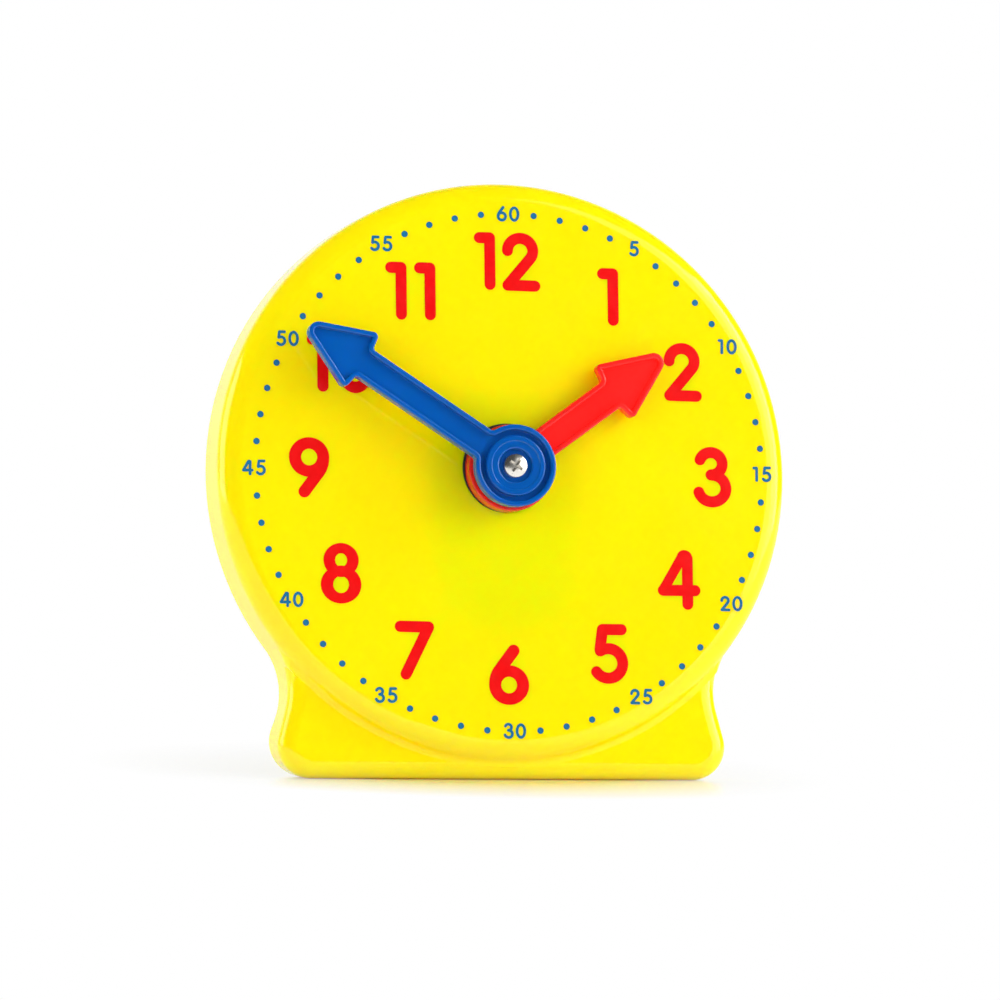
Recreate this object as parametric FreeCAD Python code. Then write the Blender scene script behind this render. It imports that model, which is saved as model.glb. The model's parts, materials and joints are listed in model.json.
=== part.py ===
import FreeCAD, Part
import os
from math import acos, cos, hypot, pi, radians, sin, sqrt, tan

# Geared teaching clock, millimetres and degrees. The round dial leans back on a flared foot.
# Turning the blue minute hand drives the red hour hand at 1/12 speed through an idler.
#
# Pieces are drawn in the dial's own frame and leaned back at the end:
#   x to the right, y depth into the clock from the dial's front face, z up the dial,
#   with the hands' axis through x = z = 0. In front of the dial y is negative.
# In the finished frame the origin is the centre of the foot's flat bottom, +Z up, front to -Y.

# Case
LEAN = 7.2                   # the dial's tilt back from upright
DRAFT = 1.6                  # the side walls widen towards the open back
DISC_RADIUS = 56.9           # at the dial's front face
CASE_DEPTH = 13.6
FACE_THICKNESS = 2.2
WALL = 2.0
LEAST_ROUND = 0.3            # of the hollow's edge behind the disc's rounded edge
RIM_FILLET = 4.2             # round edge of the dial disc
FOOT_STEP = 3.4              # the foot's front lies this far behind the dial
FOOT_FILLET = 3.2
VALLEY_FILLET = 1.5          # between the disc's edge and the foot's front
NECK_INSET = 14.2            # on each side the neck is this much inside the disc's radius
NECK_RADIUS = 15.3           # hollow sweep between disc and foot
FOOT_FLARE = 2.1             # on each side the foot stands this far out beyond the neck
FOOT_CORNER_RADIUS = 6.4     # in the dial's plane; it grows with the draft
FOOT_SIDE = 2.1              # straight part of the foot's side, at the open back
DISC_OVERLAP = 0.05          # the disc stands this proud of the foot's sweep where they merge

# Gears
MODULE = 0.8
PRESSURE_ANGLE = 20.0
TEETH_SUM = 40               # of each meshing pair, so both pairs share one centre distance
MINUTE_PINION_TEETH = 10
IDLER_PINION_TEETH = 8
UNDERCUT_TEETH = 17          # a pinion with fewer teeth is shifted outwards
DEDENDUM = 1.25              # in modules
BACKLASH = 0.12
PINION_TIP_TRIM = 0.2        # keeps the shifted pinions' teeth from coming to a point
GEAR_WIDTH = 2.2
PINION_OVERHANG = 0.1        # the minute pinion is wider than its wheel by this at each end
WHEEL_WEB = 1.4
WHEEL_RIM = 1.6              # from the tooth root in to the thinner web
GEAR_HUB_RADIUS = 4.6
IDLER_HUB_RADIUS = 3.6       # runs back from the idler's web to the cover
WHEEL_SPACE = 0.4            # between the hour wheel and the idler's wheel behind it

# Running and seating clearances
RUNNING = 0.05               # radial, in every bearing
END_PLAY = 0.1
HAND_GAP = 0.2               # between the two hands' hubs
WASHER_GAP = 0.05
SCREW_BITE = 0.15            # radial, a screw's thread into plastic

# Arbor, sleeve and idler pin
SLEEVE_RADIUS = 4.0
SLEEVE_FLAT = 3.5            # from the axis to each flat that drives the hour hand
SLEEVE_SHORT = 0.2           # the sleeve ends this far inside the hour hand
ARBOR_RADIUS = 2.5
ARBOR_END_RADIUS = 2.0
ARBOR_FLAT = 1.6             # from the axis to each flat that drives the minute hand
JOURNAL_RADIUS = 2.0
JOURNAL_PROUD = 0.3          # the arbor's rear end beyond its bearing
IDLER_PIN_RADIUS = 1.25
IDLER_PIN_SEAT = 1.4         # how far the pin is pressed into each end's boss
IDLER_PIN_CHAMFER = 0.25
BEARING_PAD_RADIUS = 6.5     # raised pad round the dial's bore
BEARING_PAD = 0.4
PIN_BOSS_RADIUS = 2.9
PIN_BOSS = 0.3

# Gear chamber and cover
GEAR_ROOM = 1.4              # round the largest wheel
CHAMBER_WALL = 1.5
SPRING_ROOM = 0.8            # between the arbor's shoulder and the cover, for the wave washer
COVER_THICKNESS = 2.0
COVER_MARGIN = 4.2           # from a screw's axis to the cover's edge
COVER_FILLET = 0.6
COVER_BOSS_RADIUS = 4.6
COVER_BOSS = 2.0             # bearing boss behind the cover
SCREW_BOSS_RADIUS = 3.2
BOSS_MERGE = 0.4             # how far a screw boss runs into the chamber's wall
RIB_THICKNESS = 1.2
RIB_HEIGHT = 2.0
RIB_ANGLES = (-90, -45, 0, 45, 90)

# Washers
WASHER_RADIUS = 8.75
WASHER_BORE_GAP = 0.4
WASHER_SHIFT_X = -0.1        # the loose washer is clamped a little off centre
WASHER_SHIFT_Z = 0.3
WASHER_THICKNESS = 0.55
SPRING_RADIUS = 3.7
SPRING_THICKNESS = 0.25
SPRING_BEND = 16.0           # radius that the spring washer is bowed to

# Screws: pan heads with a cross recess
COVER_SCREW_RADIUS = 1.3
COVER_SCREW_LENGTH = 6.5
COVER_HEAD_RADIUS = 2.5
COVER_HEAD_HEIGHT = 1.7
SCREW_HOLE_GAP = 0.2
HAND_SCREW_RADIUS = 1.1
HAND_SCREW_LENGTH = 6.0
HAND_HEAD_RADIUS = 2.25
HAND_HEAD_HEIGHT = 1.5
PILOT_EXTRA = 0.5            # a pilot hole's length beyond the screw's tip
CROSS_WIDTH = 0.62
CROSS_SHARE = 0.62           # the recess's span and depth, as a share of the head's size
DOME_SHARE = 0.35            # of the head's height
DOME_SHOULDER = 0.6          # the dome's arc passes this share of the head's radius...
DOME_SHOULDER_RISE = 0.82    # ...at this share of the dome's height
SCREW_POINT = 0.6            # the tapered end's length
SCREW_TIP_SHARE = 0.35       # the tip's radius, as a share of the shank's

# Hands: raised rims round a recessed floor, with an arrowhead
HAND_THICKNESS = 2.4
HAND_FLOOR = 1.3             # floor's thickness
HAND_RIM = 1.05
HAND_EDGE = 0.35             # rounding of the rims
ARM_HALF_WIDTH = 3.12
HEAD_HALF_WIDTH = 6.6        # to the barbs' corners before they are rounded
HEAD_LENGTH = 12.2           # from the barbs to the tip
HEAD_SWEEP = 0.6             # the notches lie this far behind the barbs
TIP_RADIUS = 2.0
BARB_RADIUS = 1.0
NOTCH_RADIUS = 0.7
HUB_JOIN_RADIUS = 1.0
MINUTE_HAND_REACH = 48.6
HOUR_HAND_REACH = 38.0
MINUTE_HAND_ANGLE = 303.3    # clockwise from the top, at rest
HOUR_HAND_ANGLE = 54.1
HOUR_HUB_RADIUS = 8.5
HOUR_HUB_HEIGHT = 3.5
HOUR_BOSS_RADIUS = 5.6
MINUTE_HUB_RADIUS = 8.07
MINUTE_SKIRT_RADIUS = 5.6    # under the minute hand, down to the hour hand
MINUTE_SKIRT = 1.3
MINUTE_BOSS_RADIUS = 5.95
MINUTE_BOSS_STEP_RADIUS = 4.95
MINUTE_BOSS_STEP = 0.22
GROOVE_DEEPER = 0.4          # the hub's groove below the arm's floor
SCREW_WELL_RADIUS = 3.3
SCREW_WELL_DEPTH = 1.3
SCREW_WEB = 0.5              # under the hand screw's head

# Worked out from the sizes above
FOOT_HALF_WIDTH = DISC_RADIUS - NECK_INSET + FOOT_FLARE
SWEEP_X = DISC_RADIUS - NECK_INSET + NECK_RADIUS     # centre of the hollow sweep, on the right
SWEEP_Z = -sqrt((DISC_RADIUS + NECK_RADIUS) ** 2 - SWEEP_X ** 2)
BOTH_ARCS = NECK_RADIUS + FOOT_CORNER_RADIUS         # the same at every depth
CORNER_DROP = sqrt(FOOT_SIDE ** 2 + BOTH_ARCS ** 2 - (BOTH_ARCS - FOOT_FLARE) ** 2)
CORNER_BACK_Z = SWEEP_Z - CORNER_DROP                # centre of the corner, at the open back
CORNER_BACK_RADIUS = FOOT_CORNER_RADIUS + CASE_DEPTH * tan(radians(DRAFT))
# from the foot's bottom to the hands' axis, in the dial's plane
HUB_HEIGHT = CORNER_BACK_RADIUS - CORNER_BACK_Z + CASE_DEPTH * tan(radians(LEAN))

IDLER_WHEEL_TEETH = TEETH_SUM - MINUTE_PINION_TEETH
HOUR_WHEEL_TEETH = TEETH_SUM - IDLER_PINION_TEETH
CENTRES = MODULE * TEETH_SUM / 2
IDLER_Z = -CENTRES

HOUR_HAND_BACK = -(WASHER_THICKNESS + WASHER_GAP)
HOUR_HAND_TOP = HOUR_HAND_BACK - HOUR_HUB_HEIGHT
MINUTE_SKIRT_BACK = HOUR_HAND_TOP - HAND_GAP
MINUTE_HAND_BACK = MINUTE_SKIRT_BACK - MINUTE_SKIRT
MINUTE_HAND_TOP = MINUTE_HAND_BACK - HAND_THICKNESS
SCREW_SEAT = MINUTE_HAND_TOP + SCREW_WELL_DEPTH
ARBOR_END = SCREW_SEAT + SCREW_WEB

PAD_BACK = FACE_THICKNESS + BEARING_PAD
HOUR_WHEEL_FRONT = PAD_BACK + END_PLAY
HOUR_WHEEL_BACK = HOUR_WHEEL_FRONT + GEAR_WIDTH
IDLER_FRONT = FACE_THICKNESS + PIN_BOSS + END_PLAY
IDLER_WHEEL_FRONT = HOUR_WHEEL_BACK + WHEEL_SPACE
IDLER_WHEEL_BACK = IDLER_WHEEL_FRONT + GEAR_WIDTH
MINUTE_PINION_FRONT = IDLER_WHEEL_FRONT - PINION_OVERHANG
MINUTE_PINION_BACK = IDLER_WHEEL_BACK + PINION_OVERHANG
COVER_FRONT = MINUTE_PINION_BACK + SPRING_ROOM
COVER_BACK = COVER_FRONT + COVER_THICKNESS
BEARING_BACK = COVER_BACK + COVER_BOSS

DEPTH_STEP = 0.5             # how far a cutting solid runs past the face that it opens
NEAR = 0.001                 # an edge this close to a place lies on it


def wheel_tip(teeth, shift):
    """Tip radius of a wheel with this profile shift."""
    return MODULE * (teeth / 2 + 1 + shift)


def pinion_shift(teeth):
    """Profile shift that just avoids undercut; the mating wheel gets the opposite one."""
    return max(0.0, (UNDERCUT_TEETH - teeth) / UNDERCUT_TEETH)


MINUTE_SHIFT = pinion_shift(MINUTE_PINION_TEETH)
IDLER_SHIFT = pinion_shift(IDLER_PINION_TEETH)
CHAMBER_RADIUS = GEAR_ROOM + max(
    wheel_tip(HOUR_WHEEL_TEETH, -IDLER_SHIFT),
    wheel_tip(IDLER_WHEEL_TEETH, -MINUTE_SHIFT),
)
SCREW_DIAGONAL = CHAMBER_RADIUS + CHAMBER_WALL + SCREW_BOSS_RADIUS - BOSS_MERGE
SCREW_X = SCREW_DIAGONAL * sin(pi / 4)
SCREW_TOP_Z = SCREW_X
SCREW_BOTTOM_Z = IDLER_Z - SCREW_X
SCREW_PLACES = (
    (-SCREW_X, SCREW_TOP_Z),
    (SCREW_X, SCREW_TOP_Z),
    (-SCREW_X, SCREW_BOTTOM_Z),
    (SCREW_X, SCREW_BOTTOM_Z),
)

Y_AXIS = FreeCAD.Vector(0, 1, 0)


# Small builders -------------------------------------------------------------------------


def point(x, z, y=0.0):
    return FreeCAD.Vector(x, y, z)


def disc(radius, front, back, x=0.0, z=0.0):
    """Round bar along the depth axis."""
    return Part.makeCylinder(radius, back - front, point(x, z, front), Y_AXIS)


def ring(outer, inner, front, back, x=0.0, z=0.0):
    bore = disc(inner, front - DEPTH_STEP, back + DEPTH_STEP, x, z)
    return disc(outer, front, back, x, z).cut(bore)


def block(x0, x1, y0, y1, z0, z1):
    return Part.makeBox(x1 - x0, y1 - y0, z1 - z0, FreeCAD.Vector(x0, y0, z0))


def edges_at(solid, depth):
    """The edges that lie wholly at one depth."""
    return [
        e for e in solid.Edges
        if abs(e.BoundBox.YMin - depth) < NEAR and abs(e.BoundBox.YMax - depth) < NEAR
    ]


def prism(wire, front, back):
    """A wire drawn at y = 0, filled and run from one depth to another."""
    face = Part.Face(wire)
    face.translate(FreeCAD.Vector(0, front, 0))
    return face.extrude(FreeCAD.Vector(0, back - front, 0))


def turned(points):
    """Solid of revolution about the hands' axis from (radius, depth) points.
    A point given with a third value is the middle of an arc between its neighbours."""
    edges = []
    start = None
    middle = None
    for radius, depth, *arc in points + points[:1]:
        here = FreeCAD.Vector(radius, depth, 0)
        if arc:
            middle = here
            continue
        if start is not None and middle is not None:
            edges.append(Part.Arc(start, middle, here).toShape())
        elif start is not None:
            edges.append(Part.makeLine(start, here))
        start = here
        middle = None
    face = Part.Face(Part.Wire(edges))
    return face.revolve(FreeCAD.Vector(0, 0, 0), Y_AXIS, 360)


def quarter(radius, depth, size, outwards, backwards):
    """Middle point of a quarter-round of this size on a corner at (radius, depth)."""
    pull = size * (1 - sqrt(0.5))
    return (radius - outwards * pull, depth - backwards * pull, "arc")


def rounded_wire(corners):
    """Closed wire through (x, z, corner radius) with a tangent arc at each corner."""
    edges = []
    last = None
    first = None
    count = len(corners)
    for i in range(count):
        x, z, radius = corners[i]
        here = point(x, z)
        before = (point(*corners[i - 1][:2]) - here).normalize()
        after = (point(*corners[(i + 1) % count][:2]) - here).normalize()
        half = acos(max(-1.0, min(1.0, before.dot(after)))) / 2
        reach = radius / tan(half)
        start = here + before * reach
        end = here + after * reach
        if radius > 0:
            towards = (before + after).normalize()
            middle = here + towards * (radius / sin(half) - radius)
            arc = Part.Arc(start, middle, end).toShape()
        if last is not None:
            edges.append(Part.makeLine(last, start))
        else:
            first = start
        if radius > 0:
            edges.append(arc)
        last = end
    edges.append(Part.makeLine(last, first))
    return Part.Wire(edges)


def stadium(radius):
    """Outline round both gear axes, straight down from the hands' axis to the idler's."""
    top = Part.Arc(point(-radius, 0), point(0, radius), point(radius, 0)).toShape()
    bottom = Part.Arc(
        point(radius, IDLER_Z), point(0, IDLER_Z - radius), point(-radius, IDLER_Z)
    ).toShape()
    right = Part.makeLine(point(radius, 0), point(radius, IDLER_Z))
    left = Part.makeLine(point(-radius, IDLER_Z), point(-radius, 0))
    return Part.Wire([top, right, bottom, left])


def turn(shape, clockwise, x=0.0, z=0.0):
    """Turns a shape clockwise, seen from the front, about an axis square to the dial."""
    shape.rotate(point(x, z), Y_AXIS, clockwise)
    return shape


# Gears ----------------------------------------------------------------------------------


def involute(angle):
    return tan(angle) - angle


def gear_wire(teeth, shift, tip_radius):
    """Spur gear outline about x = z = 0 with a tooth pointing straight up."""
    pitch = MODULE * teeth / 2
    pressure = radians(PRESSURE_ANGLE)
    base = pitch * cos(pressure)
    root = pitch - MODULE * (DEDENDUM - shift)
    half_tooth = (pi / 2 + 2 * shift * tan(pressure)) / teeth - BACKLASH / (2 * pitch)

    def flank(radius):
        return half_tooth + involute(pressure) - involute(acos(base / radius))

    start = max(base, root)
    middle = (start + tip_radius) / 2

    def at(radius, angle):
        return point(radius * sin(angle), radius * cos(angle))

    edges = []
    for i in range(teeth):
        up = 2 * pi * i / teeth
        left = [at(r, up - flank(r)) for r in (start, middle, tip_radius)]
        right = [at(r, up + flank(r)) for r in (tip_radius, middle, start)]
        left_root = at(root, up - flank(start))
        right_root = at(root, up + flank(start))
        gap_end = up + 2 * pi / teeth - flank(start)
        gap_middle = at(root, up + pi / teeth)
        if root < start:
            edges.append(Part.makeLine(left_root, left[0]))
        edges.append(Part.Arc(*left).toShape())
        edges.append(Part.Arc(left[2], at(tip_radius, up), right[0]).toShape())
        edges.append(Part.Arc(*right).toShape())
        if root < start:
            edges.append(Part.makeLine(right[2], right_root))
        edges.append(Part.Arc(right_root, gap_middle, at(root, gap_end)).toShape())
    return Part.Wire(edges)


def wheel(teeth, shift, front, back):
    """A large gear with a thinner web between its rim and its hub."""
    solid = prism(gear_wire(teeth, shift, wheel_tip(teeth, shift)), front, back)
    web_radius = MODULE * (teeth / 2 - DEDENDUM + shift) - WHEEL_RIM
    relief = (GEAR_WIDTH - WHEEL_WEB) / 2
    for low, high in ((front - DEPTH_STEP, front + relief), (back - relief, back + DEPTH_STEP)):
        solid = solid.cut(ring(web_radius, GEAR_HUB_RADIUS, low, high))
    return solid


def pinion(teeth, shift, front, back):
    tip_radius = wheel_tip(teeth, shift) - PINION_TIP_TRIM
    return prism(gear_wire(teeth, shift, tip_radius), front, back)


# Case -----------------------------------------------------------------------------------


def foot_wire(depth, inset):
    """The foot's outline at one depth, closed by a chord across the disc."""
    spread = depth * tan(radians(DRAFT))
    bottom = -HUB_HEIGHT + depth * tan(radians(LEAN))

    corner = FOOT_CORNER_RADIUS + spread
    corner_x = FOOT_HALF_WIDTH + spread - corner
    corner_z = bottom + corner

    # the disc and the sweep touch at every depth, and the inset moves every arc in
    disc_radius = DISC_RADIUS + spread - inset
    sweep = NECK_RADIUS - spread + inset
    corner -= inset
    bottom += inset

    # where the sweep leaves the disc
    share = disc_radius / (disc_radius + sweep)
    top = (SWEEP_X * share, SWEEP_Z * share)

    # common tangent of the two arcs: its normal leans from the line between their centres
    across = FreeCAD.Vector(corner_x - SWEEP_X, 0, corner_z - SWEEP_Z)
    apart = acos((sweep + corner) / across.Length)
    normal = FreeCAD.Rotation(Y_AXIS, apart * 180 / pi).multVec(across).normalize()
    sweep_end = (SWEEP_X + sweep * normal.x, SWEEP_Z + sweep * normal.z)
    corner_start = (corner_x - corner * normal.x, corner_z - corner * normal.z)

    # points halfway round each arc
    sweep_middle = (SWEEP_X - sweep, SWEEP_Z)
    corner_middle = (corner_x + corner * sqrt(0.5), corner_z - corner * sqrt(0.5))
    corner_end = (corner_x, bottom)

    def side(sign):
        def at(place):
            return point(sign * place[0], place[1], depth)

        return [
            Part.Arc(at(top), at(sweep_middle), at(sweep_end)).toShape(),
            Part.makeLine(at(sweep_end), at(corner_start)),
            Part.Arc(at(corner_start), at(corner_middle), at(corner_end)).toShape(),
        ]

    right = side(1)
    left = side(-1)
    floor = Part.makeLine(point(corner_x, bottom, depth), point(-corner_x, bottom, depth))
    chord = Part.makeLine(point(-top[0], top[1], depth), point(top[0], top[1], depth))
    return Part.Wire(right + [floor] + left[::-1] + [chord])


def foot_solid(front):
    """The outer foot, with its front edge rounded everywhere but on the chord."""
    solid = Part.makeLoft([foot_wire(front, 0), foot_wire(CASE_DEPTH, 0)], True, True)
    edges = edges_at(solid, front)
    chord = max(edges, key=lambda e: e.CenterOfMass.z)
    edges = [e for e in edges if not e.isSame(chord)]
    return solid.makeFillet(FOOT_FILLET, edges)


def disc_radius_at(depth):
    return DISC_RADIUS + DISC_OVERLAP + depth * tan(radians(DRAFT))


def disc_solid():
    rim = disc_radius_at(RIM_FILLET)
    return turned([
        (0, 0),
        (rim - RIM_FILLET, 0),
        quarter(rim, 0, RIM_FILLET, 1, -1),
        (rim, RIM_FILLET),
        (disc_radius_at(CASE_DEPTH), CASE_DEPTH),
        (0, CASE_DEPTH),
    ])


def valley():
    """Hollow round between the disc's rounded edge and the foot's front."""
    rim_centre = disc_radius_at(RIM_FILLET) - RIM_FILLET
    centre_depth = FOOT_STEP - VALLEY_FILLET
    drop = RIM_FILLET - centre_depth
    apart = RIM_FILLET + VALLEY_FILLET
    reach = sqrt(apart ** 2 - drop ** 2)
    centre = rim_centre + reach
    touch_radius = centre - reach * VALLEY_FILLET / apart
    touch_depth = centre_depth + drop * VALLEY_FILLET / apart
    turn_middle = acos(drop / apart) / 2
    middle = (
        centre - VALLEY_FILLET * sin(turn_middle),
        centre_depth + VALLEY_FILLET * cos(turn_middle),
        "arc",
    )
    ring_solid = turned([
        (rim_centre, touch_depth),
        (touch_radius, touch_depth),
        middle,
        (centre, FOOT_STEP),
        (centre, FOOT_STEP + FOOT_FILLET),
        (rim_centre, FOOT_STEP + FOOT_FILLET),
    ])
    return ring_solid.common(foot_solid(centre_depth))


def outer_case():
    return disc_solid().fuse([foot_solid(FOOT_STEP), valley()]).removeSplitter()


def case_hollow():
    """Everything that the open back leaves empty, before bosses and ribs go in."""
    inner = disc_radius_at(FACE_THICKNESS) - WALL
    inner_round = max(RIM_FILLET - WALL, LEAST_ROUND)
    past_back = CASE_DEPTH + DEPTH_STEP
    dial_hollow = turned([
        (0, FACE_THICKNESS),
        (inner - inner_round, FACE_THICKNESS),
        quarter(inner, FACE_THICKNESS, inner_round, 1, -1),
        (inner, FACE_THICKNESS + inner_round),
        (disc_radius_at(past_back) - WALL, past_back),
        (0, past_back),
    ])
    foot_front = FOOT_STEP + WALL
    foot_hollow = Part.makeLoft(
        [foot_wire(foot_front, WALL), foot_wire(past_back, WALL)], True, True
    )
    return dial_hollow.fuse(foot_hollow)


def rib(angle):
    """Low rib on the back of the face, from the gear chamber out to the side wall."""
    start = CHAMBER_RADIUS + CHAMBER_WALL / 2
    end = disc_radius_at(FACE_THICKNESS) - WALL / 2
    bar = block(
        -RIB_THICKNESS / 2, RIB_THICKNESS / 2,
        FACE_THICKNESS / 2, FACE_THICKNESS + RIB_HEIGHT,
        start, end,
    )
    return turn(bar, angle)


def front_shell():
    outer = outer_case()
    solid = outer.cut(case_hollow())
    inside = FACE_THICKNESS / 2
    chamber = prism(stadium(CHAMBER_RADIUS + CHAMBER_WALL), inside, COVER_FRONT)
    chamber = chamber.cut(prism(stadium(CHAMBER_RADIUS), FACE_THICKNESS, COVER_FRONT + DEPTH_STEP))
    solid = solid.fuse(chamber)
    for angle in RIB_ANGLES:
        solid = solid.fuse(rib(angle).common(outer))
    solid = solid.fuse(disc(BEARING_PAD_RADIUS, inside, PAD_BACK))
    solid = solid.fuse(disc(PIN_BOSS_RADIUS, inside, FACE_THICKNESS + PIN_BOSS, 0, IDLER_Z))
    for x, z in SCREW_PLACES:
        solid = solid.fuse(disc(SCREW_BOSS_RADIUS, inside, COVER_FRONT, x, z))

    # bore for the hour sleeve, the idler pin's seat and the screws' pilot holes
    solid = solid.cut(disc(SLEEVE_RADIUS + RUNNING, -DEPTH_STEP, PAD_BACK + DEPTH_STEP))
    pin_front = FACE_THICKNESS + PIN_BOSS - IDLER_PIN_SEAT
    solid = solid.cut(
        disc(IDLER_PIN_RADIUS, pin_front, PAD_BACK + DEPTH_STEP, 0, IDLER_Z)
    )
    pilot = COVER_SCREW_RADIUS - SCREW_BITE
    tip = COVER_BACK - COVER_SCREW_LENGTH - PILOT_EXTRA
    for x, z in SCREW_PLACES:
        solid = solid.cut(disc(pilot, tip, COVER_FRONT + DEPTH_STEP, x, z))
    return solid.removeSplitter()


def gear_cover():
    """Plate over the gear chamber, with a bearing boss and a seat for the idler pin."""
    half = SCREW_X + COVER_MARGIN
    top = SCREW_TOP_Z + COVER_MARGIN
    bottom = SCREW_BOTTOM_Z - COVER_MARGIN
    outline = rounded_wire([
        (-half, top, COVER_MARGIN),
        (half, top, COVER_MARGIN),
        (half, bottom, COVER_MARGIN),
        (-half, bottom, COVER_MARGIN),
    ])
    plate = prism(outline, COVER_FRONT, COVER_BACK)
    plate = plate.makeFillet(COVER_FILLET, edges_at(plate, COVER_BACK))
    bearing = turned([
        (0, COVER_FRONT),
        (COVER_BOSS_RADIUS, COVER_FRONT),
        (COVER_BOSS_RADIUS, BEARING_BACK - COVER_FILLET),
        (COVER_BOSS_RADIUS - COVER_FILLET, BEARING_BACK),
        (0, BEARING_BACK),
    ])
    solid = plate.fuse(bearing)
    solid = solid.cut(
        disc(JOURNAL_RADIUS + RUNNING, COVER_FRONT - DEPTH_STEP, BEARING_BACK + DEPTH_STEP)
    )
    solid = solid.cut(
        disc(IDLER_PIN_RADIUS, COVER_FRONT - DEPTH_STEP, COVER_FRONT + IDLER_PIN_SEAT, 0, IDLER_Z)
    )
    for x, z in SCREW_PLACES:
        hole = disc(
            COVER_SCREW_RADIUS + SCREW_HOLE_GAP,
            COVER_FRONT - DEPTH_STEP, COVER_BACK + DEPTH_STEP, x, z,
        )
        solid = solid.cut(hole)
    return solid.removeSplitter()


# Screws and washers ---------------------------------------------------------------------


def pan_screw(shank_radius, length, head_radius, head_height):
    """Screw along the depth axis: head seated at y = 0 and in front of it, shank behind."""
    dome = head_height * DOME_SHARE
    rim = head_height - dome
    solid = turned([
        (0, -head_height),
        (head_radius * DOME_SHOULDER, -rim - dome * DOME_SHOULDER_RISE, "arc"),
        (head_radius, -rim),
        (head_radius, 0),
        (shank_radius, 0),
        (shank_radius, length - SCREW_POINT),
        (shank_radius * SCREW_TIP_SHARE, length),
        (0, length),
    ])
    span = head_radius * CROSS_SHARE
    bottom = head_height * (CROSS_SHARE - 1)
    half = CROSS_WIDTH / 2
    for a, b in ((span, half), (half, span)):
        solid = solid.cut(block(-a, a, -head_height - DEPTH_STEP, bottom, -b, b))
    return solid


def cover_screw(place):
    x, z = place
    solid = pan_screw(
        COVER_SCREW_RADIUS, COVER_SCREW_LENGTH, COVER_HEAD_RADIUS, COVER_HEAD_HEIGHT
    )
    solid.rotate(FreeCAD.Vector(0, 0, 0), FreeCAD.Vector(0, 0, 1), 180)
    solid.translate(FreeCAD.Vector(x, COVER_BACK, z))
    return solid


def hand_screw():
    solid = pan_screw(
        HAND_SCREW_RADIUS, HAND_SCREW_LENGTH, HAND_HEAD_RADIUS, HAND_HEAD_HEIGHT
    )
    solid.translate(FreeCAD.Vector(0, SCREW_SEAT, 0))
    return turn(solid, MINUTE_HAND_ANGLE)


def friction_washer():
    solid = ring(WASHER_RADIUS, SLEEVE_RADIUS + WASHER_BORE_GAP, -WASHER_THICKNESS, 0)
    solid.translate(point(WASHER_SHIFT_X, WASHER_SHIFT_Z))
    return solid


def wave_washer():
    """Thin ring bowed about a line across it, resting on the cover's front."""
    reach = SPRING_RADIUS * 2
    crown = COVER_FRONT - SPRING_BEND
    outer = Part.makeCylinder(
        SPRING_BEND, 2 * reach, FreeCAD.Vector(-reach, crown, 0), FreeCAD.Vector(1, 0, 0)
    )
    inner = Part.makeCylinder(
        SPRING_BEND - SPRING_THICKNESS, 2 * reach,
        FreeCAD.Vector(-reach, crown, 0), FreeCAD.Vector(1, 0, 0),
    )
    blank = ring(
        SPRING_RADIUS, JOURNAL_RADIUS + WASHER_BORE_GAP,
        MINUTE_PINION_BACK - GEAR_WIDTH, COVER_FRONT,
    )
    return blank.common(outer.cut(inner))


# Gear train -----------------------------------------------------------------------------


def hour_wheel():
    """Hour wheel and the sleeve that carries the hour hand, in one moulding."""
    solid = wheel(HOUR_WHEEL_TEETH, -IDLER_SHIFT, HOUR_WHEEL_FRONT, HOUR_WHEEL_BACK)
    solid = turn(solid, 180 + 180 / HOUR_WHEEL_TEETH)
    sleeve_end = HOUR_HAND_TOP + SLEEVE_SHORT
    sleeve = disc(SLEEVE_RADIUS, sleeve_end, HOUR_WHEEL_BACK)
    for sign in (-1, 1):
        near, far = sorted((sign * SLEEVE_FLAT, sign * (SLEEVE_RADIUS + DEPTH_STEP)))
        flat = block(
            near, far, sleeve_end - DEPTH_STEP, HOUR_HAND_BACK,
            -SLEEVE_RADIUS, SLEEVE_RADIUS,
        )
        sleeve = sleeve.cut(turn(flat, HOUR_HAND_ANGLE))
    solid = solid.fuse(sleeve)
    bore = disc(ARBOR_RADIUS + RUNNING, sleeve_end - DEPTH_STEP, HOUR_WHEEL_BACK + DEPTH_STEP)
    return solid.cut(bore).removeSplitter()


def minute_arbor():
    """Arbor with the minute pinion; its flatted front end carries the minute hand."""
    solid = pinion(
        MINUTE_PINION_TEETH, MINUTE_SHIFT, MINUTE_PINION_FRONT, MINUTE_PINION_BACK
    )
    solid = turn(solid, 180 + 180 / MINUTE_PINION_TEETH)
    solid = solid.fuse(disc(ARBOR_RADIUS, MINUTE_SKIRT_BACK + HAND_GAP, MINUTE_PINION_FRONT))
    end = disc(ARBOR_END_RADIUS, ARBOR_END, MINUTE_PINION_FRONT)
    for sign in (-1, 1):
        near, far = sorted((sign * ARBOR_FLAT, sign * (ARBOR_END_RADIUS + DEPTH_STEP)))
        flat = block(
            near, far, ARBOR_END - DEPTH_STEP, MINUTE_SKIRT_BACK,
            -ARBOR_END_RADIUS, ARBOR_END_RADIUS,
        )
        end = end.cut(turn(flat, MINUTE_HAND_ANGLE))
    solid = solid.fuse(end)
    solid = solid.fuse(
        disc(JOURNAL_RADIUS, MINUTE_PINION_FRONT, BEARING_BACK + JOURNAL_PROUD)
    )
    pilot_end = SCREW_SEAT + HAND_SCREW_LENGTH + PILOT_EXTRA
    pilot = disc(HAND_SCREW_RADIUS - SCREW_BITE, ARBOR_END - DEPTH_STEP, pilot_end)
    return solid.cut(pilot).removeSplitter()


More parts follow.
